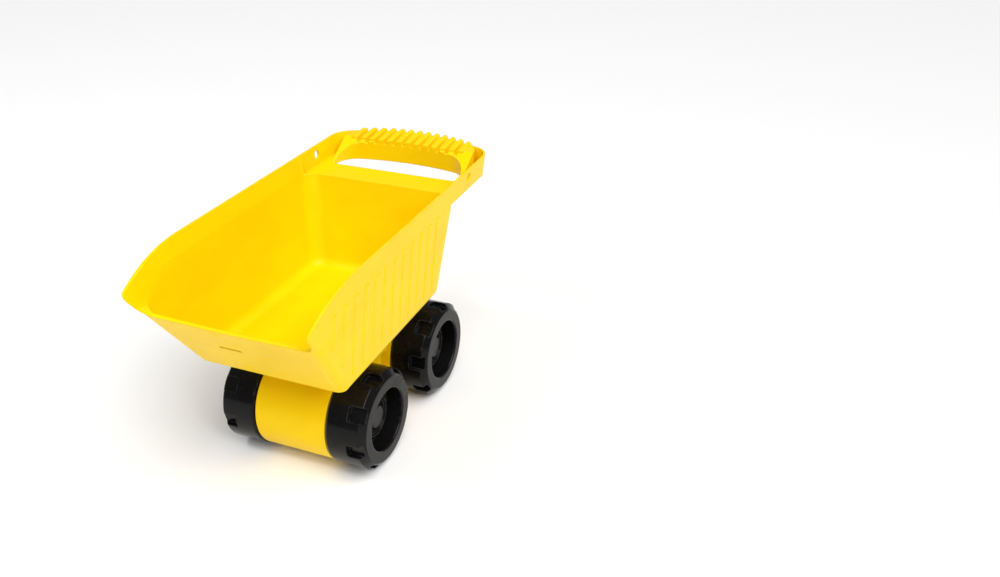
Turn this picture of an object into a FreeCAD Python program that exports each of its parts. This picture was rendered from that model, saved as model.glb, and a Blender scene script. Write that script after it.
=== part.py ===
import FreeCAD, Part
import Sketcher
import math
import os

# Push-along toy dump truck: an open dump bed with a moulded grip, screwed to a
# chassis with two drum-shaped axle housings, on four wide wheels.
# Millimetres, +Z up, -Y is the pouring lip (front), +Y the grip, X across.
# The origin is on the ground, in the middle of the toy's length and width.

doc = FreeCAD.newDocument("toy_dump_truck")
sheet = doc.addObject("Spreadsheet::Sheet", "Sizes")

DRIVING_SIZES = [
    # wheels and axles
    ("wheel_radius", 38.0),
    ("wheel_inner_x", 29.8),
    ("wheel_outer_x", 60.2),
    ("front_axle_y", -50.65),
    ("rear_axle_y", 49.55),
    ("front_wheel_turn", 7.5),
    ("rear_wheel_turn", -11.0),
    ("tread_round", 2.0),
    ("face_ring_radius", 32.8),
    ("face_ring_depth", 4.0),
    ("tread_edge_round", 1.2),
    ("face_round", 0.8),
    ("pocket_count", 8),
    ("pocket_floor_radius", 34.2),
    ("pocket_start_x", 46.3),
    ("pocket_half_width", 5.6),
    ("pocket_corner", 1.5),
    ("recess_radius", 23.8),
    ("recess_mouth_round", 1.6),
    ("recess_draft", 1.0),
    ("recess_foot_round", 2.0),
    ("recess_floor_x", 43.5),
    ("moulding_wall", 2.5),
    ("hub_radius", 9.0),
    ("hub_start_x", 31.0),
    ("hub_end_x", 47.0),
    ("boss_radius", 14.5),
    ("boss_foot_round", 0.25),
    ("boss_top_round", 0.6),
    ("hub_foot_round", 1.5),
    ("bush_radius", 5.0),
    ("bush_flange_radius", 7.2),
    ("bush_flange", 1.0),
    ("axle_radius", 3.0),
    ("axle_half_length", 50.3),
    ("axle_chamfer", 0.6),
    ("running_gap", 0.05),
    ("side_gap", 0.3),
    ("washer_radius", 6.5),
    ("washer_gap", 0.1),
    ("ring_edge_round", 0.3),
    ("retainer_radius", 6.8),
    ("retainer_thickness", 1.4),
    ("cap_radius", 16.4),
    ("cap_wall", 1.8),
    ("cap_face_x", 51.0),
    ("cap_skirt_x", 46.1),
    ("cap_ring_width", 2.4),
    ("cap_dish_x", 49.2),
    ("cap_dish_wall", 1.2),
    ("cap_dome_x", 52.0),
    ("cap_dome_radius", 9.0),
    ("cap_dome_round", 1.6),
    ("cap_edge_round", 0.8),
    ("cap_inside_round", 0.5),
    ("cap_draft", 0.4),
    # chassis
    ("drum_radius", 37.0),
    ("drum_half_width", 28.8),
    ("seam_z", 9.0),
    ("cover_gap", 0.25),
    ("belly_z", 4.0),
    ("belly_inset", 12.5),
    ("belly_overhang", 15.5),
    ("spine_half_width", 21.0),
    ("spine_top_z", 62.0),
    ("pedestal_half_width", 25.0),
    ("pedestal_front_y", -58.25),
    ("pedestal_back_y", 47.75),
    ("pedestal_low_z", 50.0),
    ("pedestal_corner", 8.0),
    ("axle_boss_radius", 8.0),
    ("axle_boss_length", 9.0),
    ("post_radius", 4.2),
    ("post_x", 14.0),
    ("drum_post_y", 13.0),
    ("spine_post_y", -0.55),
    ("drum_post_top_z", 70.0),
    ("well_radius", 7.5),
    ("well_bore", 5.3),
    ("well_floor_z", 80.0),
    ("well_x", 15.0),
    ("well_front_y", -42.25),
    ("well_back_y", 31.75),
    ("screw_radius", 1.75),
    ("screw_head_radius", 3.5),
    ("screw_head", 2.2),
    ("screw_length", 12.0),
    # dump bed
    ("bed_wall", 2.8),
    ("bed_bottom", 92.0),
    ("bed_floor", 95.0),
    ("bed_rim", 184.0),
    ("bed_top", 190.0),
    ("bed_half_width", 58.5),
    ("side_draft", 0.125),
    ("fascia_y", -99.45),
    ("fascia_slope", 0.63),
    ("back_y", 54.55),
    ("back_draft", 0.21),
    ("front_corner", 8.0),
    ("rim_front_corner", 5.5),
    ("back_corner", 17.0),
    ("inner_front_corner", 11.0),
    ("inner_back_corner", 11.5),
    ("bottom_round", 8.0),
    ("floor_round", 8.5),
    ("crease_z", 171.0),
    ("rim_flat", 1.6),
    ("rim_curve_y", -112.05),
    ("rim_curve_radius", 114.0),
    ("rim_curve_slope", 0.481),
    ("rim_cut_drop", 25.0),
    ("nose_radius", 3.6),
    ("lip_z", 147.6),
    ("lip_rise", 0.03),
    ("lip_corner_x", 62.0),
    ("lip_corner", 8.0),
    ("lip_nose_z", 168.0),
    ("nose_low_z", 150.0),
    ("nose_bulge", 2.8),
    ("lip_cut_y", -110.25),
    ("lip_cut_length", 44.0),
    ("nose_wall", 1.1),
    ("lip_wall_gap", 0.05),
    ("boss_pilot_depth", 11.0),
    # ribs on the bed's sides
    ("side_rib_count", 9),
    ("front_rib_count", 3),
    ("side_rib_pitch", 13.5),
    ("side_rib_width", 4.6),
    ("side_rib_height", 0.6),
    ("side_rib_round", 0.54),
    ("side_rib_clear", 14.0),
    ("raised_bar_sunk", 1.5),
    ("side_rib_low_z", 104.0),
    ("side_rib_high_z", 166.0),
    ("last_side_rib_y", 32.15),
    # plain bar on the fascia
    ("fascia_bar_x", -11.5),
    ("fascia_bar_z", 124.5),
    ("fascia_bar_length", 17.0),
    ("fascia_bar_width", 2.4),
    ("fascia_bar_height", 0.5),
    ("fascia_bar_round", 0.4),
    # grip
    ("shelf_z", 169.1),
    ("skirt_z", 166.4),
    ("grip_apex_y", 156.02),
    ("grip_slope", 0.404),
    ("grip_bow", 137.0),
    ("grip_corner", 18.6),
    ("grip_front_y", 45.75),
    ("flange_slope", 0.13),
    ("flare_inset", 0.3),
    ("slot_half_width", 56.3),
    ("slot_front_y", 92.55),
    ("slot_apex_y", 123.05),
    ("slot_slope", 0.194),
    ("slot_bow", 205.0),
    ("slot_corner", 18.0),
    ("slot_front_corner", 4.0),
    ("ramp_low_y", 94.75),
    ("ramp_high_y", 119.75),
    ("bar_corner", 16.0),
    ("bar_hollow_half_width", 44.0),
    ("bar_hollow_bow", 100.0),
    ("bar_hollow_inset", 8.5),
    ("bar_front_wall", 3.75),
    ("bar_ceiling_z", 179.5),
    ("groove_width", 3.4),
    ("groove_low_z", 180.8),
    ("groove_high_z", 184.6),
    ("groove_start_y", 106.75),
    ("groove_end_y", 144.75),
    ("grip_rib_count", 13),
    ("grip_rib_pitch", 8.1),
    ("grip_rib_radius", 2.4),
    ("grip_rib_round", 2.04),
    ("grip_rib_top", 186.6),
    ("grip_rib_front_y", 117.75),
    ("grip_rib_sunk", 3.0),
    ("rib_slope_y", 112.0),
    ("rib_slope", 0.09),
    ("cord_hole_radius", 3.6),
    ("cord_hole_reach", 16.0),
    ("cord_hole_y", 86.5),
    ("cord_hole_z", 177.0),
]

SIDES = (("left", 1), ("right", -1))
# how much the bed's front bulges at five heights, from below the noses to the top
NOSE_BULGE_SHARES = (0, 0.85, 1, 0.3, 0.3)
# how far shapes run into what they join, and cuts run past what they cut
OVERLAP, CLEAR, FAR = 1, 5, 40
# the most by which an edge may miss a level and still be taken as lying on it
TOUCHING = 0.01


def fill_sheet():
    for row, (alias, value) in enumerate(DRIVING_SIZES, start=1):
        sheet.set(f"A{row}", alias)
        sheet.set(f"B{row}", str(value))
        sheet.setAlias(f"B{row}", alias)
    doc.recompute()


class Size:
    """A number together with the sheet formula that gives it."""

    def __init__(self, value, formula):
        self.value = float(value)
        self.formula = formula

    def join(self, sign, other, result):
        text = other.formula if isinstance(other, Size) else repr(float(other))
        return Size(result, f"({self.formula} {sign} {text})")

    def __add__(self, other):
        return self.join("+", other, self.value + number(other))

    def __sub__(self, other):
        return self.join("-", other, self.value - number(other))

    def __mul__(self, other):
        return self.join("*", other, self.value * number(other))

    def __truediv__(self, other):
        return self.join("/", other, self.value / number(other))

    def __neg__(self):
        return self * -1

    def root(self):
        return Size(math.sqrt(self.value), f"sqrt({self.formula})")


def number(size):
    return size.value if isinstance(size, Size) else float(size)


def cell(alias):
    return Size(sheet.get(alias), f"Sizes.{alias}")


def bind(target, path, size):
    if isinstance(size, Size):
        target.setExpression(path, size.formula)


# ---------------------------------------------------------------- sketches


def origin_feature(body, role):
    return next(f for f in body.Origin.OriginFeatures if f.Role == role)


def new_body(label):
    body = doc.addObject("PartDesign::Body", label)
    body.Label = label
    return body


def new_sketch(body, name, plane, height=0.0):
    """A sketch on an origin plane of the body, moved along the plane's normal."""
    sketch = body.newObject("Sketcher::SketchObject", name)
    sketch.AttachmentSupport = [(origin_feature(body, plane), "")]
    sketch.MapMode = "FlatFace"
    sketch.AttachmentOffset = FreeCAD.Placement(
        FreeCAD.Vector(0, 0, number(height)), FreeCAD.Rotation()
    )
    bind(sketch, "AttachmentOffset.Base.z", height)
    return sketch


def fix_point(sketch, geometry, end, x, y):
    for kind, size in (("DistanceX", x), ("DistanceY", y)):
        rule = Sketcher.Constraint(kind, -1, 1, geometry, end, number(size))
        index = sketch.addConstraint(rule)
        bind(sketch, f"Constraints[{index}]", size)


def fix_radius(sketch, geometry, radius):
    index = sketch.addConstraint(Sketcher.Constraint("Radius", geometry, number(radius)))
    bind(sketch, f"Constraints[{index}]", radius)


def add_circle(sketch, x, y, radius):
    centre = FreeCAD.Vector(number(x), number(y), 0)
    circle = Part.Circle(centre, FreeCAD.Vector(0, 0, 1), number(radius))
    geometry = sketch.addGeometry(circle, False)
    fix_point(sketch, geometry, 3, x, y)
    fix_radius(sketch, geometry, radius)


def rounded_corner(before, corner, after, radius):
    """Where a rounding leaves and meets the two straight sides, and its arc."""
    incoming = (corner - before).normalize()
    outgoing = (after - corner).normalize()
    turn = math.atan2(incoming.cross(outgoing).z, incoming.dot(outgoing))
    reach = radius * math.tan(abs(turn) / 2)
    first = corner - incoming * reach
    last = corner + outgoing * reach
    left = FreeCAD.Vector(-incoming.y, incoming.x, 0)
    centre = first + left * math.copysign(radius, turn)
    start, end = (first, last) if turn > 0 else (last, first)
    angles = [math.atan2(p.y - centre.y, p.x - centre.x) for p in (start, end)]
    circle = Part.Circle(centre, FreeCAD.Vector(0, 0, 1), radius)
    return first, last, Part.ArcOfCircle(circle, *angles), turn > 0


def add_outline(sketch, corners):
    """A closed outline through corners given as (x, y) or (x, y, rounding radius)."""
    points = [FreeCAD.Vector(number(c[0]), number(c[1]), 0) for c in corners]
    count = len(corners)
    starts, ends, arcs = list(points), list(points), {}
    for i, corner in enumerate(corners):
        if len(corner) == 3:
            before, after = points[i - 1], points[(i + 1) % count]
            rounding = rounded_corner(before, points[i], after, number(corner[2]))
            ends[i], starts[i] = rounding[:2]
            arcs[i] = rounding[2:]
    sides = [
        sketch.addGeometry(Part.LineSegment(starts[i], ends[(i + 1) % count]), False)
        for i in range(count)
    ]
    for i, corner in enumerate(corners):
        before, after = sides[i - 1], sides[i]
        if i not in arcs:
            sketch.addConstraint(Sketcher.Constraint("Coincident", before, 2, after, 1))
            fix_point(sketch, after, 1, corner[0], corner[1])
            continue
        arc, turns_left = arcs[i]
        arc_index = sketch.addGeometry(arc, False)
        near, far = (1, 2) if turns_left else (2, 1)
        point = sketch.addGeometry(Part.Point(points[i]), True)
        for rule in (
            Sketcher.Constraint("Tangent", before, 2, arc_index, near),
            Sketcher.Constraint("Tangent", arc_index, far, after, 1),
            Sketcher.Constraint("PointOnObject", point, 1, before),
            Sketcher.Constraint("PointOnObject", point, 1, after),
        ):
            sketch.addConstraint(rule)
        fix_radius(sketch, arc_index, corner[2])
        fix_point(sketch, point, 1, corner[0], corner[1])


def rectangle(x, half_width, y_low, y_high, low_round=None, high_round=None):
    """Corners of a rectangle about x, with the roundings of its low and high ends."""
    low = (low_round,) if low_round is not None else ()
    high = (high_round,) if high_round is not None else ()
    left, right = half_width * -1 + x, half_width + x
    return [(left, y_low, *low), (right, y_low, *low), (right, y_high, *high), (left, y_high, *high)]


# ---------------------------------------------------------------- features


def extrude(body, kind, name, sketch, length, both_ways=False):
    """A Pad or a Pocket, which run along the sketch's normal."""
    feature = body.newObject(f"PartDesign::{kind}", name)
    feature.Profile = sketch
    feature.Length = number(length)
    bind(feature, "Length", length)
    feature.SideType = "Symmetric" if both_ways else "One side"
    feature.Reversed = kind == "Pocket"
    return feature


def loft(body, kind, name, sections):
    feature = body.newObject(f"PartDesign::{kind}", name)
    feature.Profile = sections[0]
    feature.Sections = sections[1:]
    feature.Ruled = True
    return feature


def revolve(body, name, corners):
    """A turned shape: its outline in X (along the axle) and Y (radius)."""
    sketch = new_sketch(body, f"{name}_profile", "XY_Plane")
    add_outline(sketch, corners)
    feature = body.newObject("PartDesign::Revolution", name)
    feature.Profile = sketch
    feature.ReferenceAxis = (origin_feature(body, "X_Axis"), [""])
    feature.Angle = 360
    return feature


def round_edges(body, name, radius, wanted):
    """A fillet on the edges of the body so far that the test picks."""
    doc.recompute()
    base = body.Tip
    names = [f"Edge{i}" for i, e in enumerate(base.Shape.Edges, start=1) if wanted(e)]
    fillet = body.newObject("PartDesign::Fillet", name)
    fillet.Base = (base, names)
    fillet.Radius = number(radius)
    bind(fillet, "Radius", radius)
    body.Tip = fillet
    return fillet


def repeat(body, kind, name, original, axis, count, span):
    pattern = body.newObject(f"PartDesign::{kind}", name)
    pattern.Originals = [original]
    reference = (origin_feature(body, axis), [""])
    if kind == "PolarPattern":
        pattern.Axis = reference
        pattern.Angle = number(span)
    else:
        pattern.Direction = reference
        pattern.Length = number(span)
        bind(pattern, "Length", span)
    pattern.Occurrences = int(number(count))
    bind(pattern, "Occurrences", count)
    body.Tip = pattern
    return pattern


def place(body, y, z, side=1, roll=0):
    """Moves a body made about its own axle line to an axle, facing out on one side."""
    facing = FreeCAD.Rotation(FreeCAD.Vector(0, 0, 1), 0 if side > 0 else 180)
    rolled = FreeCAD.Rotation(FreeCAD.Vector(1, 0, 0), number(roll))
    where = FreeCAD.Vector(0, number(y), number(z))
    body.Placement = FreeCAD.Placement(where, rolled.multiply(facing))
    bind(body, "Placement.Base.y", y)
    bind(body, "Placement.Base.z", z)


# ---------------------------------------------------------------- wheels


def wheel(label, axle_y, side, roll):
    body = new_body(label)
    wall = cell("moulding_wall")
    radius, inner_x, outer_x = cell("wheel_radius"), cell("wheel_inner_x"), cell("wheel_outer_x")
    recess, ring = cell("recess_radius"), cell("face_ring_radius")
    hub = cell("hub_radius")
    floor_x, end_x, start_x = cell("recess_floor_x"), cell("hub_end_x"), cell("hub_start_x")
    pocket_inside = cell("pocket_floor_radius") - wall
    revolve(
        body,
        f"{label}_turned",
        [
            (inner_x, radius, cell("tread_round")),
            (outer_x - cell("face_ring_depth"), radius, cell("tread_edge_round")),
            (outer_x, ring, cell("face_round")),
            (outer_x, recess, cell("recess_mouth_round")),
            (floor_x + wall, recess - cell("recess_draft"), cell("recess_foot_round")),
            (floor_x + wall, cell("boss_radius"), cell("boss_foot_round")),
            (end_x, cell("boss_radius"), cell("boss_top_round")),
            (end_x, cell("bush_radius")),
            (start_x, cell("bush_radius")),
            (start_x, hub),
            (floor_x, hub, cell("hub_foot_round")),
            (floor_x, recess + wall),
            (outer_x - wall, recess + wall),
            (outer_x - wall, pocket_inside),
            (cell("pocket_start_x") - wall, pocket_inside),
            (cell("pocket_start_x") - wall * 2, radius - wall),
            (inner_x, radius - wall),
        ],
    )
    sketch = new_sketch(body, f"{label}_pocket_outline", "XY_Plane", cell("pocket_floor_radius"))
    half, corner = cell("pocket_half_width"), cell("pocket_corner")
    add_outline(
        sketch,
        [
            (cell("pocket_start_x"), -half, corner),
            (outer_x + CLEAR, -half),
            (outer_x + CLEAR, half),
            (cell("pocket_start_x"), half, corner),
        ],
    )
    pocket = extrude(body, "Pocket", f"{label}_pocket", sketch, radius)
    repeat(body, "PolarPattern", f"{label}_pockets", pocket, "X_Axis", cell("pocket_count"), 360)
    place(body, axle_y, radius, side, roll)
    return body


def hub_bush(label, axle_y, side):
    body = new_body(label)
    bore = cell("axle_radius") + cell("running_gap")
    end_x = cell("hub_end_x")
    revolve(
        body,
        f"{label}_turned",
        [
            (cell("hub_start_x"), bore),
            (end_x + cell("bush_flange"), bore),
            (end_x + cell("bush_flange"), cell("bush_flange_radius")),
            (end_x, cell("bush_flange_radius")),
            (end_x, cell("bush_radius")),
            (cell("hub_start_x"), cell("bush_radius")),
        ],
    )
    place(body, axle_y, cell("wheel_radius"), side)
    return body


def ring(label, x_low, x_high, bore, radius, axle_y, side):
    """A flat ring about the axle, such as a washer or a push-on retainer."""
    body = new_body(label)
    edge = cell("ring_edge_round")
    revolve(
        body,
        f"{label}_turned",
        [(x_low, bore), (x_high, bore), (x_high, radius, edge), (x_low, radius, edge)],
    )
    place(body, axle_y, cell("wheel_radius"), side)
    return body


def hub_cap(label, axle_y, side):
    """A push-on cap: a raised ring, a sunk dish and a domed middle over the axle's end."""
    body = new_body(label)
    face, skirt, outer = cell("cap_face_x"), cell("cap_skirt_x"), cell("cap_radius")
    inner, ring_inside = outer - cell("cap_wall"), outer - cell("cap_ring_width")
    dish, thin = cell("cap_dish_x"), cell("cap_dish_wall")
    dome, dome_radius = cell("cap_dome_x"), cell("cap_dome_radius")
    centre, draft = Size(0, "0"), cell("cap_draft")
    small, wide, tight = cell("cap_edge_round"), cell("cap_dome_round"), cell("cap_inside_round")
    revolve(
        body,
        f"{label}_turned",
        [
            (skirt, inner),
            (dish - thin, inner, tight),
            (dish - thin, dome_radius - thin),
            (dome - thin, dome_radius - thin, tight),
            (dome - thin, centre),
            (dome, centre),
            (dome, dome_radius, wide),
            (dish, dome_radius + draft, small),
            (dish, ring_inside, small),
            (face, ring_inside + draft, small),
            (face, outer, small),
            (skirt, outer),
        ],
    )
    place(body, axle_y, cell("wheel_radius"), side)
    return body


def axle(label, axle_y):
    body = new_body(label)
    half, radius, chamfer = cell("axle_half_length"), cell("axle_radius"), cell("axle_chamfer")
    centre = Size(0, "0")
    revolve(
        body,
        f"{label}_turned",
        [
            (-half, centre),
            (half, centre),
            (half, radius - chamfer),
            (half - chamfer, radius),
            (-half + chamfer, radius),
            (-half, radius - chamfer),
        ],
    )
    place(body, axle_y, cell("wheel_radius"))
    return body


def running_gear():
    """Two axles, each with a wheel, bush, washer, retainer and hub cap at both ends."""
    parts = []
    axle_radius, gap = cell("axle_radius"), cell("side_gap")
    washer_bore = axle_radius + cell("washer_gap")
    retainer_x = cell("hub_end_x") + cell("bush_flange") + gap
    for end, axle_y in axle_places():
        roll = cell(f"{end}_wheel_turn")
        parts.append(axle(f"{end}_axle", axle_y))
        for hand, side in SIDES:
            name = f"{end}_{hand}"
            washer = (cell("drum_half_width"), cell("hub_start_x") - gap)
            retainer = (retainer_x, retainer_x + cell("retainer_thickness"))
            parts.append(wheel(f"{name}_wheel", axle_y, side, roll))
            parts.append(hub_bush(f"{name}_hub_bush", axle_y, side))
            parts.append(
                ring(f"{name}_washer", *washer, washer_bore, cell("washer_radius"), axle_y, side)
            )
            parts.append(
                ring(f"{name}_retainer", *retainer, axle_radius, cell("retainer_radius"), axle_y, side)
            )
            parts.append(hub_cap(f"{name}_hub_cap", axle_y, side))
    return parts


# ---------------------------------------------------------------- chassis


def axle_places():
    return (("front", cell("front_axle_y")), ("rear", cell("rear_axle_y")))


def drum_post_places():
    """The centres of the cover's screw posts inside the two drums."""
    x, offset = cell("post_x"), cell("drum_post_y")
    rows = (cell("front_axle_y") - offset, cell("rear_axle_y") + offset)
    return [(x * sign, y) for y in rows for sign in (-1, 1)]


def spine_post_places():
    """The centres of the cover's screw posts between the drums."""
    return [(cell("post_x") * sign, cell("spine_post_y")) for sign in (-1, 1)]


def well_places():
    """The centres of the four wells that take the bosses under the dump bed."""
    x = cell("well_x")
    return [(x * sign, y) for y in (cell("well_front_y"), cell("well_back_y")) for sign in (-1, 1)]


def circles(body, name, height, places, radius):
    sketch = new_sketch(body, name, "XY_Plane", height)
    for x, y in places:
        add_circle(sketch, x, y, radius)
    return sketch


def drums(body, kind, name, radius, half_length):
    """Both axle housings' cylinders, added or cut away, about the two axle lines."""
    for end, axle_y in axle_places():
        sketch = new_sketch(body, f"{name}_{end}_circle", "YZ_Plane")
        add_circle(sketch, axle_y, cell("wheel_radius"), radius)
        extrude(body, kind, f"{name}_{end}", sketch, half_length * 2, both_ways=True)


def box(body, kind, name, half_width, y_low, y_high, z_low, z_high, corner=None):
    sketch = new_sketch(body, f"{name}_outline", "XY_Plane", z_low)
    add_outline(sketch, rectangle(0, half_width, y_low, y_high, corner, corner))
    return extrude(body, kind, name, sketch, z_high - z_low)


def chassis_housing():
    body = new_body("chassis_housing")
    wall, seam = cell("moulding_wall"), cell("seam_z")
    half, radius = cell("drum_half_width"), cell("drum_radius")
    front, rear = cell("front_axle_y"), cell("rear_axle_y")
    spine, spine_top = cell("spine_half_width"), cell("spine_top_z")
    pedestal, corner = cell("pedestal_half_width"), cell("pedestal_corner")
    ped_front, ped_back = cell("pedestal_front_y"), cell("pedestal_back_y")
    top = cell("bed_bottom")
    drums(body, "Pad", "drum", radius, half)
    box(body, "Pad", "spine", spine, front, rear, seam, spine_top)
    box(body, "Pad", "pedestal", pedestal, ped_front, ped_back, cell("pedestal_low_z"), top, corner)
    drums(body, "Pocket", "drum_inside", radius - wall, half - wall)
    inside_y = (ped_front + wall, ped_back - wall)
    box(body, "Pocket", "spine_inside", spine - wall, *inside_y, seam - OVERLAP, top - wall)
    box(
        body, "Pocket", "pedestal_inside", pedestal - wall, *inside_y,
        cell("pedestal_low_z") + wall, top - wall, corner - wall,
    )
    for side_name, start in (("left", half - cell("axle_boss_length")), ("right", -half)):
        for end, axle_y in axle_places():
            sketch = new_sketch(body, f"boss_{end}_{side_name}_circle", "YZ_Plane", start)
            add_circle(sketch, axle_y, cell("wheel_radius"), cell("axle_boss_radius"))
            extrude(body, "Pad", f"boss_{end}_{side_name}", sketch, cell("axle_boss_length"))
    for name, places, post_top in (
        ("drum_posts", drum_post_places(), cell("drum_post_top_z")),
        ("spine_posts", spine_post_places(), top - wall + OVERLAP),
    ):
        posts = circles(body, f"{name}_circles", seam, places, cell("post_radius"))
        extrude(body, "Pad", name, posts, post_top - seam)
    well_low = cell("well_floor_z") - wall
    wells = circles(body, "wells_circles", well_low, well_places(), cell("well_radius"))
    extrude(body, "Pad", "wells", wells, top - well_low)
    bores = circles(body, "well_bores", cell("well_floor_z"), well_places(), cell("well_bore"))
    extrude(body, "Pocket", "well_inside", bores, top)
    pilot = cell("screw_radius") + cell("running_gap")
    holes = circles(body, "well_holes", well_low - CLEAR, well_places(), pilot)
    extrude(body, "Pocket", "well_screw_holes", holes, wall + CLEAR * 2)
    cover_screws = drum_post_places() + spine_post_places()
    pilots = circles(body, "post_pilots", seam - OVERLAP, cover_screws, pilot)
    extrude(body, "Pocket", "post_screw_holes", pilots, cell("screw_length") + OVERLAP * 2)
    bore = cell("axle_radius") + cell("running_gap")
    for end, axle_y in axle_places():
        sketch = new_sketch(body, f"axle_bore_{end}_circle", "YZ_Plane")
        add_circle(sketch, axle_y, cell("wheel_radius"), bore)
        extrude(body, "Pocket", f"axle_bore_{end}", sketch, half * 3, both_ways=True)
    box(body, "Pocket", "underside_opening", half * 2, front * 3, rear * 3, seam - FAR, seam)
    return body


def chassis_cover():
    """The belly plate, with the lowest slice of both drums moulded to it."""
    body = new_body("chassis_cover")
    wall, seam, gap = cell("moulding_wall"), cell("seam_z"), cell("cover_gap")
    front, rear = cell("front_axle_y"), cell("rear_axle_y")
    radius, half = cell("drum_radius"), cell("drum_half_width")
    top, overhang = seam - gap, cell("belly_overhang")
    drums(body, "Pad", "slice", radius, half)
    box(body, "Pocket", "slice_top", radius, front * 3, rear * 3, top, cell("bed_bottom"))
    drums(body, "Pocket", "slice_inside", radius - wall, half - wall)
    box(
        body, "Pad", "inner_floor", cell("spine_half_width"),
        front - overhang, rear + overhang, top - wall, top,
    )
    inset = cell("belly_inset")
    box(
        body, "Pad", "belly", cell("spine_half_width"),
        front + inset, rear - inset, cell("belly_z"), top - wall + OVERLAP,
    )
    screws = drum_post_places() + spine_post_places()
    pilot = cell("screw_radius") + cell("running_gap")
    holes = circles(body, "screw_hole_circles", top - FAR, screws, pilot)
    extrude(body, "Pocket", "screw_holes", holes, FAR * 2)
    heads = circles(body, "head_circles", top - FAR, screws, cell("screw_head_radius") + gap)
    extrude(body, "Pocket", "head_recesses", heads, -wall + FAR)
    return body


def screws(label, places, seat_z):
    """Pan-head screws driven upwards, their heads seated at one height."""
    body = new_body(label)
    head, head_radius = cell("screw_head"), cell("screw_head_radius")
    heads = circles(body, f"{label}_heads_circles", seat_z - head, places, head_radius)
    extrude(body, "Pad", f"{label}_heads", heads, head)
    shank = circles(body, f"{label}_shanks_circles", seat_z, places, cell("screw_radius"))
    extrude(body, "Pad", f"{label}_shanks", shank, cell("screw_length"))
    return body


# ---------------------------------------------------------------- dump bed


def side_at(z):
    """Half the bed's outside width at a height: its sides lean out by a fixed draft."""
    return cell("bed_half_width") + (z - cell("bed_bottom")) * cell("side_draft")


def fascia_at(z):
    return cell("fascia_y") - (z - cell("bed_bottom")) * cell("fascia_slope")


def back_at(z):
    return cell("back_y") + (z - cell("bed_bottom")) * cell("back_draft")


def bed_section(body, name, z, inset, corners, bulge=0):
    """The bed's outline at a height, in by the inset, and its front out by the bulge."""
    sketch = new_sketch(body, name, "XY_Plane", z)
    slope = cell("fascia_slope")
    front = fascia_at(z) + (slope * slope + 1).root() * inset - bulge
    add_outline(sketch, rectangle(0, side_at(z) - inset, front, back_at(z) - inset, *corners))
    return sketch


def bow(half_width, y_front, y_apex, slope, corner, bow_radius, front_round=None):
    """Corners of an outline with a straight front, straight sides and a bowed back."""
    y_side = y_apex - half_width * slope
    front = (front_round,) if front_round is not None else ()
    return [
        (-half_width, y_front, *front),
        (half_width, y_front, *front),
        (half_width, y_side, corner),
        (Size(0, "0"), y_apex, bow_radius),
        (-half_width, y_side, corner),
    ]


def grip_section(body, name, z, inset):
    """The grip's outline at a height, moved in from its drafted outside by the inset."""
    slope = cell("grip_slope")
    stretch = (slope * slope + 1).root()
    outside = side_at(cell("bed_rim")) - side_at(z)
    shift = outside + inset
    sketch = new_sketch(body, name, "XY_Plane", z)
    half = side_at(cell("bed_rim")) - shift
    add_outline(
        sketch,
        bow(
            half, cell("grip_front_y"), cell("grip_apex_y") - shift * stretch, slope,
            cell("grip_corner") - shift, cell("grip_bow") - shift,
        ),
    )
    return sketch


def flange_inset(z):
    """How far in from the grip's outside the flange's inner face is at a height."""
    return cell("rim_flat") + (cell("bed_rim") - z) * cell("flange_slope")


def ramp_y(z):
    """How far back the sloping ends of the grip bar are at a height."""
    low, high = cell("ramp_low_y"), cell("ramp_high_y")
    return low + (z - cell("shelf_z")) * (high - low) / (cell("bed_rim") - cell("shelf_z"))


def slot_outline(body, name, z, grow):
    slope = cell("slot_slope")
    stretch = (slope * slope + 1).root()
    sketch = new_sketch(body, name, "XY_Plane", z)
    add_outline(
        sketch,
        bow(
            cell("slot_half_width") + grow, cell("slot_front_y"),
            cell("slot_apex_y") + stretch * grow, slope,
            cell("slot_corner") + grow, cell("slot_bow") + grow,
            cell("slot_front_corner"),
        ),
    )
    return sketch


def add_grip_skirt(body):
    low, top = cell("skirt_z"), cell("bed_top")
    wall = cell("moulding_wall")
    outside = [grip_section(body, f"skirt_outside_{i}", z, 0) for i, z in enumerate((low, top))]
    loft(body, "AdditiveLoft", "skirt", outside)
    below = low - OVERLAP * 2
    levels = (below, top + OVERLAP)
    inside = [grip_section(body, f"skirt_inside_{i}", z, wall) for i, z in enumerate(levels)]
    loft(body, "SubtractiveLoft", "skirt_inside", inside)


def add_tub(body):
    """The bed's tapered outside, its front bulging a little below the two noses."""
    bottom, top, nose = cell("bed_bottom"), cell("bed_top"), cell("nose_low_z")
    bulge, rise = cell("nose_bulge"), (cell("lip_nose_z") - nose) / 3
    back = cell("back_corner")
    rim_corners = (cell("rim_front_corner"), back)
    sections = [bed_section(body, "tub_low", bottom, 0, (cell("front_corner"), back))]
    levels = (nose, nose + rise, nose + rise * 2, nose + rise * 3, top)
    for i, (z, share) in enumerate(zip(levels, NOSE_BULGE_SHARES)):
        sections.append(bed_section(body, f"tub_{i}", z, 0, rim_corners, bulge * share))
    loft(body, "AdditiveLoft", "tub", sections)


def add_shelf(body):
    """The level shelf inside the grip's flange."""
    wall, shelf = cell("moulding_wall"), cell("shelf_z")
    sections = [
        grip_section(body, f"shelf_{i}", z, wall / 2) for i, z in enumerate((shelf - wall, shelf))
    ]
    loft(body, "AdditiveLoft", "shelf", sections)


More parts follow.
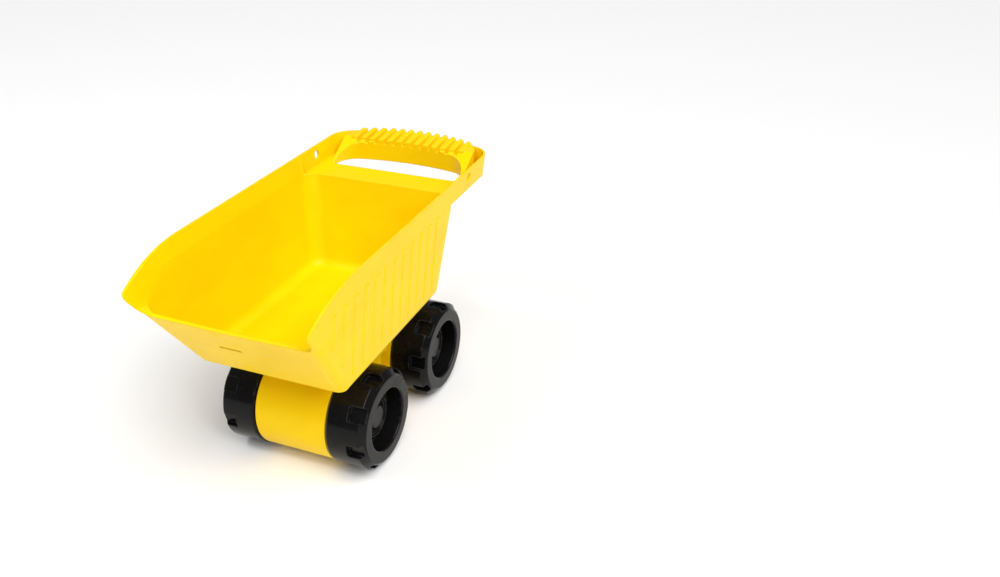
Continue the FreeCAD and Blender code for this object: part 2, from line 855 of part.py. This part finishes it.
def cut_inside(body):
    floor, crease, top = cell("bed_floor"), cell("crease_z"), cell("bed_top")
    wall = cell("bed_wall")
    low_corners = (cell("inner_front_corner"), cell("inner_back_corner"))
    high_corners = (cell("rim_front_corner"), cell("inner_back_corner"))
    sections = [
        bed_section(body, "inside_low", floor, wall, low_corners),
        bed_section(body, "inside_high", crease + OVERLAP, wall, high_corners),
    ]
    loft(body, "SubtractiveLoft", "inside", sections)

    def at_floor(edge):
        box = edge.BoundBox
        return abs(box.ZMin - number(floor)) < TOUCHING and abs(box.ZMax - number(floor)) < TOUCHING

    round_edges(body, "floor_rounding", cell("floor_round"), at_floor)
    flare = [
        bed_section(body, "flare_low", crease, wall, high_corners),
        bed_section(body, "flare_high", top + OVERLAP, cell("flare_inset"), high_corners),
    ]
    loft(body, "SubtractiveLoft", "flare", flare)
    dish = [
        grip_section(body, f"dish_{i}", z, flange_inset(z))
        for i, z in enumerate((cell("shelf_z"), top + OVERLAP))
    ]
    loft(body, "SubtractiveLoft", "dish", dish)


def cut_rim(body):
    """Cuts the rim level, curving down to the nose, and cuts the pouring lip lower."""
    rim, top = cell("bed_rim"), cell("bed_top")
    slope, fascia = cell("rim_curve_slope"), cell("fascia_slope")
    curve_y, drop = cell("rim_curve_y"), cell("rim_cut_drop")
    nose_z = rim - (curve_y - fascia_at(rim)) * slope / (fascia * slope + 1)
    nose_y = fascia_at(nose_z)
    sketch = new_sketch(body, "rim_profile", "YZ_Plane")
    add_outline(
        sketch,
        [
            (cell("grip_apex_y") + FAR, top + FAR),
            (fascia_at(top) - FAR, top + FAR),
            (fascia_at(top) - FAR, nose_z - drop),
            (fascia_at(nose_z - drop), nose_z - drop),
            (nose_y, nose_z, cell("nose_radius")),
            (curve_y, rim, cell("rim_curve_radius")),
            (cell("grip_apex_y") + FAR, rim),
        ],
    )
    extrude(body, "Pocket", "rim_cut", sketch, side_at(top) * 2 + FAR, both_ways=True)
    cut_y = cell("lip_cut_y")
    sections = [
        lip_section(body, "lip_back", cut_y, cell("bed_wall") + cell("lip_wall_gap")),
        lip_section(body, "lip_front", cut_y - cell("lip_cut_length"), cell("nose_wall")),
    ]
    loft(body, "SubtractiveLoft", "lip_cut", sections)


def lip_section(body, name, y, wall):
    """The outline of the gap between the noses, leaving the wall given at each side."""
    top, low = cell("bed_top"), cell("lip_nose_z")
    lip_z, corner = cell("lip_z"), cell("lip_corner")
    lip_x = cell("bed_wall") + cell("lip_corner_x") - wall
    corner_z = lip_z + lip_x * cell("lip_rise")
    nose_x, top_x = side_at(low) - wall, side_at(top) - wall
    sketch = new_sketch(body, name, "XZ_Plane", -y)
    add_outline(
        sketch,
        [
            (Size(0, "0"), lip_z, cell("rim_curve_radius")),
            (lip_x, corner_z, corner),
            (nose_x, low),
            (top_x, top),
            (-top_x, top),
            (-nose_x, low),
            (-lip_x, corner_z, corner),
        ],
    )
    return sketch


def add_grip_bar(body):
    """The bar behind the finger slot, its two ends sloping down to the shelf."""
    wall, rim, slope = cell("moulding_wall"), cell("bed_rim"), cell("grip_slope")
    stretch = (slope * slope + 1).root()
    half = cell("slot_half_width") + wall
    sections = []
    for i, z in enumerate((cell("shelf_z") - wall, rim)):
        sunk = side_at(rim) - side_at(z) + OVERLAP
        rear = cell("grip_apex_y") - sunk * stretch
        sketch = new_sketch(body, f"grip_bar_{i}", "XY_Plane", z)
        outline = bow(half, ramp_y(z), rear, slope, cell("bar_corner"), cell("grip_bow") - sunk)
        add_outline(sketch, outline)
        sections.append(sketch)
    loft(body, "AdditiveLoft", "grip_bar", sections)


def hollow_grip_bar(body):
    """Hollows the bar from below, between the slot and the flange."""
    wall = cell("moulding_wall")
    low, half = cell("shelf_z") - wall - OVERLAP, cell("bar_hollow_half_width")
    front, slope = cell("slot_apex_y") + cell("bar_front_wall"), cell("slot_slope")
    rear, rear_slope = cell("grip_apex_y") - cell("bar_hollow_inset"), cell("grip_slope")
    centre = Size(0, "0")
    sketch = new_sketch(body, "bar_hollow_outline", "XY_Plane", low)
    add_outline(
        sketch,
        [
            (-half, front - half * slope),
            (centre, front, cell("slot_bow")),
            (half, front - half * slope),
            (half, rear - half * rear_slope),
            (centre, rear, cell("bar_hollow_bow")),
            (-half, rear - half * rear_slope),
        ],
    )
    extrude(body, "Pocket", "bar_hollow", sketch, cell("bar_ceiling_z") - low)


def cut_grip_grooves(body):
    """Wedge-shaped grooves between the grip's ribs, deepest beside the finger slot."""
    pitch, width = cell("grip_rib_pitch"), cell("groove_width")
    count = cell("grip_rib_count") - 1
    span = pitch * (count - 1)
    low, high = cell("groove_low_z"), cell("groove_high_z")
    start, end = cell("groove_start_y"), cell("groove_end_y")
    sketch = new_sketch(body, "grip_groove_profile", "YZ_Plane", -span / 2 - width / 2)
    add_outline(
        sketch,
        [
            (start, low),
            (cell("ramp_high_y"), low),
            (end, high),
            (end, high + CLEAR),
            (start, high + CLEAR),
        ],
    )
    groove = extrude(body, "Pocket", "grip_groove", sketch, width)
    repeat(body, "LinearPattern", "grip_grooves", groove, "X_Axis", count, span)


def add_grip_ribs(body):
    """Rounded ribs across the grip bar, trimmed to its bowed outline."""
    count, pitch, half = cell("grip_rib_count"), cell("grip_rib_pitch"), cell("grip_rib_radius")
    span = pitch * (count - 1)
    first = -span / 2
    top, low = cell("grip_rib_top"), cell("bed_rim") - cell("grip_rib_sunk")
    rear, round_top = cell("grip_apex_y") + CLEAR, cell("grip_rib_round")
    sketch = new_sketch(body, "grip_rib_profile", "XZ_Plane", -rear)
    add_outline(sketch, rectangle(first, half, low, top, None, round_top))
    rib = extrude(body, "Pad", "grip_rib", sketch, rear - cell("grip_rib_front_y"))
    repeat(body, "LinearPattern", "grip_ribs", rib, "X_Axis", count, span)
    half_width, slope = side_at(cell("bed_rim")), cell("grip_slope")
    y_side = cell("grip_apex_y") - half_width * slope
    y_low, y_far, x_far = cell("slot_front_y"), rear + FAR, half_width + FAR
    sketch = new_sketch(body, "grip_trim_outline", "XY_Plane", low)
    add_outline(
        sketch,
        [
            (-x_far, y_low),
            (-half_width, y_low),
            (-half_width, y_side, cell("grip_corner")),
            (Size(0, "0"), cell("grip_apex_y"), cell("grip_bow")),
            (half_width, y_side, cell("grip_corner")),
            (half_width, y_low),
            (x_far, y_low),
            (x_far, y_far),
            (-x_far, y_far),
        ],
    )
    extrude(body, "Pocket", "grip_trim", sketch, FAR)
    start = cell("rib_slope_y")
    slope_z = cell("bed_rim") + cell("rib_slope") * FAR
    sketch = new_sketch(body, "rib_slope_profile", "YZ_Plane")
    add_outline(
        sketch,
        [
            (start, cell("bed_rim")),
            (start + FAR, slope_z),
            (start + FAR, slope_z + CLEAR),
            (start, slope_z + CLEAR),
        ],
    )
    extrude(body, "Pocket", "rib_slope_cut", sketch, half_width * 2 + CLEAR, both_ways=True)


def cut_slot_and_holes(body):
    low = cell("shelf_z") - CLEAR * 2
    extrude(body, "Pocket", "slot", slot_outline(body, "slot_outline", low, 0), FAR)
    reach, start = cell("cord_hole_reach"), cell("slot_half_width") + CLEAR
    for hand, x in (("left", start), ("right", -start - reach)):
        sketch = new_sketch(body, f"cord_hole_{hand}_circle", "YZ_Plane", x)
        add_circle(sketch, cell("cord_hole_y"), cell("cord_hole_z"), cell("cord_hole_radius"))
        extrude(body, "Pocket", f"cord_hole_{hand}", sketch, reach)


def add_bosses(body):
    """The four screw bosses under the floor, which stand in the chassis wells."""
    low = cell("well_floor_z") + cell("side_gap")
    places = well_places()
    bosses = circles(body, "boss_circles", low, places, cell("well_bore") - cell("side_gap"))
    extrude(body, "Pad", "bosses", bosses, cell("bed_bottom") - low + OVERLAP)
    pilot = cell("screw_radius") + cell("running_gap")
    pilots = circles(body, "boss_pilot_circles", low - OVERLAP, places, pilot)
    extrude(body, "Pocket", "boss_pilots", pilots, cell("boss_pilot_depth") + OVERLAP)


def side_rib_section(body, name, y, z, side):
    half, edge = cell("side_rib_width") / 2, cell("side_rib_round")
    inner, outer = side_at(z) - cell("raised_bar_sunk"), side_at(z) + cell("side_rib_height")
    corners = [(inner, y - half), (outer, y - half, edge), (outer, y + half, edge), (inner, y + half)]
    if side < 0:
        corners = [(-c[0], *c[1:]) for c in reversed(corners)]
    sketch = new_sketch(body, name, "XY_Plane", z)
    add_outline(sketch, corners)
    return sketch


def side_rib(body, name, y, side):
    """One flat upright rib on a side wall, kept clear of the sloping fascia."""
    clear = cell("side_rib_clear")
    on_fascia = cell("bed_bottom") + (cell("fascia_y") - y + clear) / cell("fascia_slope")
    low = max(cell("side_rib_low_z"), on_fascia, key=number)
    sections = [
        side_rib_section(body, f"{name}_{i}", y, z, side)
        for i, z in enumerate((low, cell("side_rib_high_z")))
    ]
    return loft(body, "AdditiveLoft", name, sections)


def add_side_ribs(body):
    count, pitch, last = cell("side_rib_count"), cell("side_rib_pitch"), cell("last_side_rib_y")
    span = pitch * (count - 1)
    for hand, side in SIDES:
        first = side_rib(body, f"{hand}_rib", last - span, side)
        repeat(body, "LinearPattern", f"{hand}_ribs", first, "Y_Axis", count, span)
        for step in range(1, int(number(cell("front_rib_count"))) + 1):
            side_rib(body, f"{hand}_front_rib_{step}", last - span - pitch * step, side)


def add_fascia_bar(body):
    """A short plain raised bar on the sloping front."""
    proud, sunk = cell("fascia_bar_height"), cell("raised_bar_sunk")
    length, half, edge = cell("fascia_bar_length"), cell("fascia_bar_width") / 2, cell("fascia_bar_round")
    middle = cell("fascia_bar_z")
    sections = []
    for i, z in enumerate((middle - half, middle + half)):
        sketch = new_sketch(body, f"fascia_bar_{i}", "XY_Plane", z)
        y = fascia_at(z)
        corners = rectangle(cell("fascia_bar_x"), length / 2, y - proud, y + sunk, edge)
        add_outline(sketch, corners)
        sections.append(sketch)
    loft(body, "AdditiveLoft", "fascia_bar", sections)


def dump_bed():
    body = new_body("dump_bed")
    add_grip_skirt(body)
    add_tub(body)
    bottom = number(cell("bed_bottom"))
    round_edges(
        body, "bottom_rounding", cell("bottom_round"),
        lambda edge: max(abs(edge.BoundBox.ZMin - bottom), abs(edge.BoundBox.ZMax - bottom)) < TOUCHING,
    )
    add_shelf(body)
    cut_inside(body)
    cut_rim(body)
    add_grip_bar(body)
    hollow_grip_bar(body)
    cut_grip_grooves(body)
    add_grip_ribs(body)
    cut_slot_and_holes(body)
    add_bosses(body)
    add_side_ribs(body)
    add_fascia_bar(body)
    return body


# ---------------------------------------------------------------- check and export


def export(parts):
    doc.recompute()
    faults = [
        f"{o.Name}: {o.State}"
        for o in doc.Objects
        if any(word in state for state in o.State for word in ("Invalid", "Error"))
    ]
    for part in parts:
        shape = part.Shape
        if shape.isNull() or not shape.isValid() or not shape.Solids:
            faults.append(f"{part.Label}: bad shape")
    if faults:
        raise RuntimeError("; ".join(faults))
    os.makedirs("parts", exist_ok=True)
    for part in parts:
        part.Shape.exportStep(os.path.join("parts", f"{part.Label}.step"))
        box = part.Shape.BoundBox
        print(
            f"{part.Label}: {len(part.Shape.Solids)} solid(s), {part.Shape.Volume / 1000:.2f} cm3,"
            f" x {box.XMin:.1f}..{box.XMax:.1f} y {box.YMin:.1f}..{box.YMax:.1f}"
            f" z {box.ZMin:.1f}..{box.ZMax:.1f}"
        )


def build():
    fill_sheet()
    bed_screws = screws("bed_screws", well_places(), cell("well_floor_z") - cell("moulding_wall"))
    cover_places = drum_post_places() + spine_post_places()
    seat = cell("seam_z") - cell("cover_gap") - cell("moulding_wall")
    cover_screws = screws("cover_screws", cover_places, seat)
    parts = [dump_bed(), chassis_housing(), chassis_cover(), bed_screws, cover_screws]
    export(parts + running_gear())


build()
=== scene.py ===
"""Looks for the push-along toy dump truck: materials, camera, light and floor.

Metres, +Z up, -Y is the truck's pouring lip and +Y its grip. The CAD nodes stay as
they are and get moulded-plastic and steel materials.
"""

import math

import bpy
from mathutils import Matrix, Vector

# camera, as angles about the truck and a distance from the middle of its wheelbase
CAMERA_AZIMUTH = 21.48
CAMERA_ELEVATION = 29.52
CAMERA_ROLL = -0.278
CAMERA_DISTANCE = 0.7198
CAMERA_LENS = 32.4
CAMERA_SENSOR = 36.0
WHEELBASE_MIDDLE = Vector((0.0, -0.00055, 0.038))
FRAME_OFFSET = Vector((-0.11988, -0.06242))

# lights: the key is a wide sun, so that the floor is evenly bright
AIM = Vector((0, 0, 0.08))
KEY_TOWARDS = (0.5, -0.2, 0.84)
KEY_DISTANCE = 3
KEY_STRENGTH = 2.7
KEY_SPREAD = 52
SURROUND = 0.28
# each soft box: its direction from the truck, distance, width, height and watts
SOFT_BOXES = {
    "side_strip": ((0.62, -0.42, 0.66), 1.6, 0.1, 0.9, 4),
    "tread_box": ((-0.32, -0.42, 0.85), 1.4, 0.3, 0.2, 4.5),
    "front_strip": ((0.2, -0.9, 0.42), 1.6, 0.5, 0.08, 2.5),
}

FLOOR_REACH = 12
FLOOR_SHADE = 0.9
FLOOR_ROUGHNESS = 0.7
FLOOR_SPECULAR = 0.2

# features per metre of the plastics' noises, and of the steel's
CLOUDS, STREAKS, RUBS, GRAIN, SCUFFS, SAG, SKIN = 26, 14, 160, 420, 95, 38, 1500
SPANGLE, PLATING_WEAR, TURNING = 700, 900, 2600
# depths of the bumps, in metres
SAG_DEPTH, SKIN_DEPTH, TURNING_DEPTH = 0.0012, 0.00006, 0.00004
# how far from an edge it is rubbed, and how much rougher it is there
RUB_WIDTH, RUB_ROUGHENING = 0.0012, 0.25
PLATING_WEAR_WIDTH, STEEL_ROUNDING = 0.0004, 0.0003
STEEL_DARK, STEEL_LIGHT, STEEL_WORN = (0.58, 0.59, 0.6), (0.68, 0.68, 0.67), (0.4, 0.38, 0.36)
STEEL_ROUGHNESS = (0.24, 0.42)
BEVEL_SAMPLES = 6

# which finish each kind of node has, by the end of its name; the rest is steel
FINISHES = {
    "dump_bed": "bed_yellow",
    "housing": "chassis_yellow",
    "cover": "chassis_yellow",
    "wheel": "wheel_black",
    "hub_cap": "cap_black",
    "hub_bush": "bush_white",
}
YELLOW = {
    "colour": (0.91, 0.615, 0.0008),
    "cloud": (0.88, 0.58, 0.0008),
    "streak": (0.93, 0.635, 0.0012),
    "rubbed": (0.97, 0.76, 0.07),
    "rub": 0.35,
    "roughness": (0.27, 0.37),
    "scuff": 0.16,
    "specular": 0.1,
    "sag": 0.12,
    "skin": 0.35,
    "rounding": 0.0009,
}
BLACK = {
    "colour": (0.0035, 0.0035, 0.004),
    "cloud": (0.006, 0.0055, 0.006),
    "streak": (0.0025, 0.0025, 0.003),
    "rubbed": (0.05, 0.05, 0.052),
    "rub": 0.6,
    "roughness": (0.1, 0.18),
    "scuff": 0.2,
    "specular": 0.13,
    "sag": 0.1,
    "skin": 0.25,
    "rounding": 0.0008,
}
PLASTICS = {
    "bed_yellow": YELLOW,
    "chassis_yellow": YELLOW | {"colour": (0.91, 0.58, 0.0008), "roughness": (0.3, 0.4)},
    "wheel_black": BLACK,
    "cap_black": BLACK | {"rounding": 0.0005},
    "bush_white": BLACK | {
        "colour": (0.78, 0.76, 0.7),
        "cloud": (0.72, 0.7, 0.64),
        "streak": (0.8, 0.79, 0.74),
        "rubbed": (0.6, 0.58, 0.53),
        "roughness": (0.4, 0.5),
        "specular": 0.4,
        "rounding": 0.0003,
    },
}


def camera():
    """A camera at the picture's angle, with the truck left of the frame's middle."""
    azimuth, elevation = math.radians(CAMERA_AZIMUTH), math.radians(CAMERA_ELEVATION)
    flat = Vector((math.sin(azimuth), -math.cos(azimuth), 0))
    back = flat * math.cos(elevation) + Vector((0, 0, math.sin(elevation)))
    right = Vector((math.cos(azimuth), math.sin(azimuth), 0))
    up = back.cross(right)
    roll = math.radians(CAMERA_ROLL)
    right, up = (
        right * math.cos(roll) + up * math.sin(roll),
        up * math.cos(roll) - right * math.sin(roll),
    )
    place = WHEELBASE_MIDDLE + back * CAMERA_DISTANCE
    place -= right * FRAME_OFFSET.x + up * FRAME_OFFSET.y
    data = bpy.data.cameras.new("camera")
    data.lens, data.sensor_width = CAMERA_LENS, CAMERA_SENSOR
    data.clip_start, data.clip_end = 0.01, 50
    eye = bpy.data.objects.new("camera", data)
    bpy.context.scene.collection.objects.link(eye)
    turn = Matrix((right, up, back)).transposed().to_4x4()
    eye.matrix_world = Matrix.Translation(place) @ turn
    bpy.context.scene.camera = eye


# ---------------------------------------------------------------- lights and floor


def add_lamp(name, data, towards, distance):
    """A lamp in a direction seen from the truck, aimed at the truck."""
    lamp = bpy.data.objects.new(name, data)
    bpy.context.scene.collection.objects.link(lamp)
    away = Vector(towards).normalized()
    lamp.location = away * distance + AIM
    lamp.rotation_euler = away.to_track_quat("Z", "Y").to_euler()


def soft_box(name, towards, distance, width, height, power):
    data = bpy.data.lights.new(name, "AREA")
    data.shape, data.size, data.size_y, data.energy = "RECTANGLE", width, height, power
    add_lamp(name, data, towards, distance)


def studio():
    """A high soft key from the truck's left, three soft boxes and a white surround."""
    key = bpy.data.lights.new("key", "SUN")
    key.energy, key.angle = KEY_STRENGTH, math.radians(KEY_SPREAD)
    add_lamp("key", key, KEY_TOWARDS, KEY_DISTANCE)
    for name, settings in SOFT_BOXES.items():
        soft_box(name, *settings)
    world = bpy.data.worlds.new("studio")
    bpy.context.scene.world = world
    world.use_nodes = True
    background = world.node_tree.nodes["Background"]
    background.inputs["Color"].default_value = (1, 1, 1, 1)
    background.inputs["Strength"].default_value = SURROUND


def floor():
    mesh = bpy.data.meshes.new("floor")
    reach = FLOOR_REACH
    corners = [(-reach, -reach, 0), (reach, -reach, 0), (reach, reach, 0), (-reach, reach, 0)]
    mesh.from_pydata(corners, [], [(0, 1, 2, 3)])
    plane = bpy.data.objects.new("floor", mesh)
    bpy.context.scene.collection.objects.link(plane)
    material = bpy.data.materials.new("floor")
    material.use_nodes = True
    shader = material.node_tree.nodes["Principled BSDF"]
    shader.inputs["Base Color"].default_value = (FLOOR_SHADE,) * 3 + (1,)
    shader.inputs["Roughness"].default_value = FLOOR_ROUGHNESS
    shader.inputs["Specular IOR Level"].default_value = FLOOR_SPECULAR
    mesh.materials.append(material)


# ---------------------------------------------------------------- materials


class Nodes:
    """A material's node tree, with one call for each kind of node used here."""

    def __init__(self, name):
        self.material = bpy.data.materials.new(name)
        self.material.use_nodes = True
        self.tree = self.material.node_tree
        self.shader = self.tree.nodes["Principled BSDF"]
        self.place = self.add("ShaderNodeTexCoord").outputs["Object"]

    def add(self, kind, **settings):
        node = self.tree.nodes.new(kind)
        for key, value in settings.items():
            setattr(node, key, value)
        return node

    def feed(self, socket, value):
        """Links an output to a socket, or sets the socket to a plain value."""
        if isinstance(value, bpy.types.NodeSocket):
            self.tree.links.new(value, socket)
        else:
            socket.default_value = value

    def noise(self, scale, detail=3.0, stretch=(1, 1, 1)):
        """Soft random shades between 0 and 1; the scale is in features per metre."""
        mapping = self.add("ShaderNodeMapping")
        self.feed(mapping.inputs["Vector"], self.place)
        mapping.inputs["Scale"].default_value = stretch
        texture = self.add("ShaderNodeTexNoise")
        self.feed(texture.inputs["Vector"], mapping.outputs["Vector"])
        texture.inputs["Scale"].default_value = scale
        texture.inputs["Detail"].default_value = detail
        return texture.outputs["Fac"]

    def spread(self, value, low, high, start=0.0, end=1.0):
        """Maps low..high of the input onto start..end, clamped."""
        node = self.add("ShaderNodeMapRange")
        for key, number in zip(("From Min", "From Max", "To Min", "To Max"), (low, high, start, end)):
            node.inputs[key].default_value = number
        self.feed(node.inputs["Value"], value)
        return node.outputs["Result"]

    def maths(self, operation, first, second):
        node = self.add("ShaderNodeMath", operation=operation)
        self.feed(node.inputs[0], first)
        self.feed(node.inputs[1], second)
        return node.outputs["Value"]

    def blend(self, share, first, second):
        """A colour between two, by the share of the second."""
        node = self.add("ShaderNodeMix", data_type="RGBA")
        self.feed(node.inputs["Factor"], share)
        for socket, colour in ((node.inputs["A"], first), (node.inputs["B"], second)):
            self.feed(socket, (*colour, 1) if isinstance(colour, tuple) else colour)
        return node.outputs["Result"]

    def rounded(self, radius):
        """The surface's direction with its sharp edges rounded over."""
        node = self.add("ShaderNodeBevel", samples=BEVEL_SAMPLES)
        node.inputs["Radius"].default_value = radius
        return node.outputs["Normal"]

    def edges(self, radius, gain):
        """1 along edges within a radius, 0 on open faces."""
        flat = self.add("ShaderNodeNewGeometry").outputs["Normal"]
        node = self.add("ShaderNodeVectorMath", operation="DOT_PRODUCT")
        self.feed(node.inputs[0], self.rounded(radius))
        self.feed(node.inputs[1], flat)
        return self.spread(node.outputs["Value"], 1.0 - gain, 1.0, 1.0, 0.0)

    def bump(self, height, distance, strength, normal=None):
        node = self.add("ShaderNodeBump")
        node.inputs["Distance"].default_value = distance
        node.inputs["Strength"].default_value = strength
        self.feed(node.inputs["Height"], height)
        if normal is not None:
            self.feed(node.inputs["Normal"], normal)
        return node.outputs["Normal"]


def moulded_plastic(name, look):
    """Moulded plastic: cloudy pigment, a fine skin texture, scuffs and rubbed edges."""
    nodes = Nodes(name)
    shader = nodes.shader
    clouds = nodes.spread(nodes.noise(CLOUDS), 0.35, 0.65)
    streaks = nodes.spread(nodes.noise(STREAKS, stretch=(1, 1, 3)), 0.45, 0.7, 0.0, 0.6)
    body = nodes.blend(clouds, look["colour"], look["cloud"])
    body = nodes.blend(streaks, body, look["streak"])
    patches = nodes.spread(nodes.noise(RUBS), 0.4, 0.62, 0.0, look["rub"])
    rub = nodes.maths("MULTIPLY", nodes.edges(RUB_WIDTH, 0.08), patches)
    nodes.feed(shader.inputs["Base Color"], nodes.blend(rub, body, look["rubbed"]))
    grain = nodes.spread(nodes.noise(GRAIN), 0.3, 0.7, *look["roughness"])
    scuffs = nodes.spread(nodes.noise(SCUFFS, 6, (1, 0.12, 1)), 0.6, 0.68, 0.0, look["scuff"])
    rough = nodes.maths("ADD", grain, scuffs)
    rubbed = nodes.maths("MULTIPLY", rub, RUB_ROUGHENING)
    nodes.feed(shader.inputs["Roughness"], nodes.maths("ADD", rough, rubbed))
    shader.inputs["Specular IOR Level"].default_value = look["specular"]
    rounding = nodes.rounded(look["rounding"])
    sag = nodes.bump(nodes.noise(SAG, 2), SAG_DEPTH, look["sag"], rounding)
    nodes.feed(shader.inputs["Normal"], nodes.bump(nodes.noise(SKIN, 2), SKIN_DEPTH, look["skin"], sag))
    return nodes.material


def zinc_steel(name):
    """Zinc-plated steel: turning marks, spangle and duller rubbed edges."""
    nodes = Nodes(name)
    shader = nodes.shader
    shader.inputs["Metallic"].default_value = 1.0
    plated = nodes.blend(nodes.spread(nodes.noise(SPANGLE), 0.35, 0.65), STEEL_DARK, STEEL_LIGHT)
    patches = nodes.spread(nodes.noise(PLATING_WEAR), 0.4, 0.6)
    worn = nodes.maths("MULTIPLY", nodes.edges(PLATING_WEAR_WIDTH, 0.1), patches)
    nodes.feed(shader.inputs["Base Color"], nodes.blend(worn, plated, STEEL_WORN))
    turned = nodes.noise(TURNING, 2, (1, 0.05, 0.05))
    nodes.feed(shader.inputs["Roughness"], nodes.spread(turned, 0.3, 0.7, *STEEL_ROUGHNESS))
    marks = nodes.bump(turned, TURNING_DEPTH, 0.4, nodes.rounded(STEEL_ROUNDING))
    nodes.feed(shader.inputs["Normal"], marks)
    return nodes.material


def dress(nodes):
    """Gives every CAD node its finished material."""
    finishes = {name: moulded_plastic(name, look) for name, look in PLASTICS.items()}
    finishes["steel"] = zinc_steel("steel")
    for name, node in nodes.items():
        kind = next((finish for ending, finish in FINISHES.items() if name.endswith(ending)), "steel")
        node.data.materials.clear()
        node.data.materials.append(finishes[kind])


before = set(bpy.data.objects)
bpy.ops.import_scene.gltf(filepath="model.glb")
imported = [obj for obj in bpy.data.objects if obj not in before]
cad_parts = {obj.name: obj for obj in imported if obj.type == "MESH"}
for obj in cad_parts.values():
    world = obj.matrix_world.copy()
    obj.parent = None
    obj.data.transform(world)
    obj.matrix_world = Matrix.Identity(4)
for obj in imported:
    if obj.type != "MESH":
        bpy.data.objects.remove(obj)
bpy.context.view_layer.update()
bpy.context.scene.view_settings.view_transform = "Standard"
camera()
studio()
floor()
dress(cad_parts)
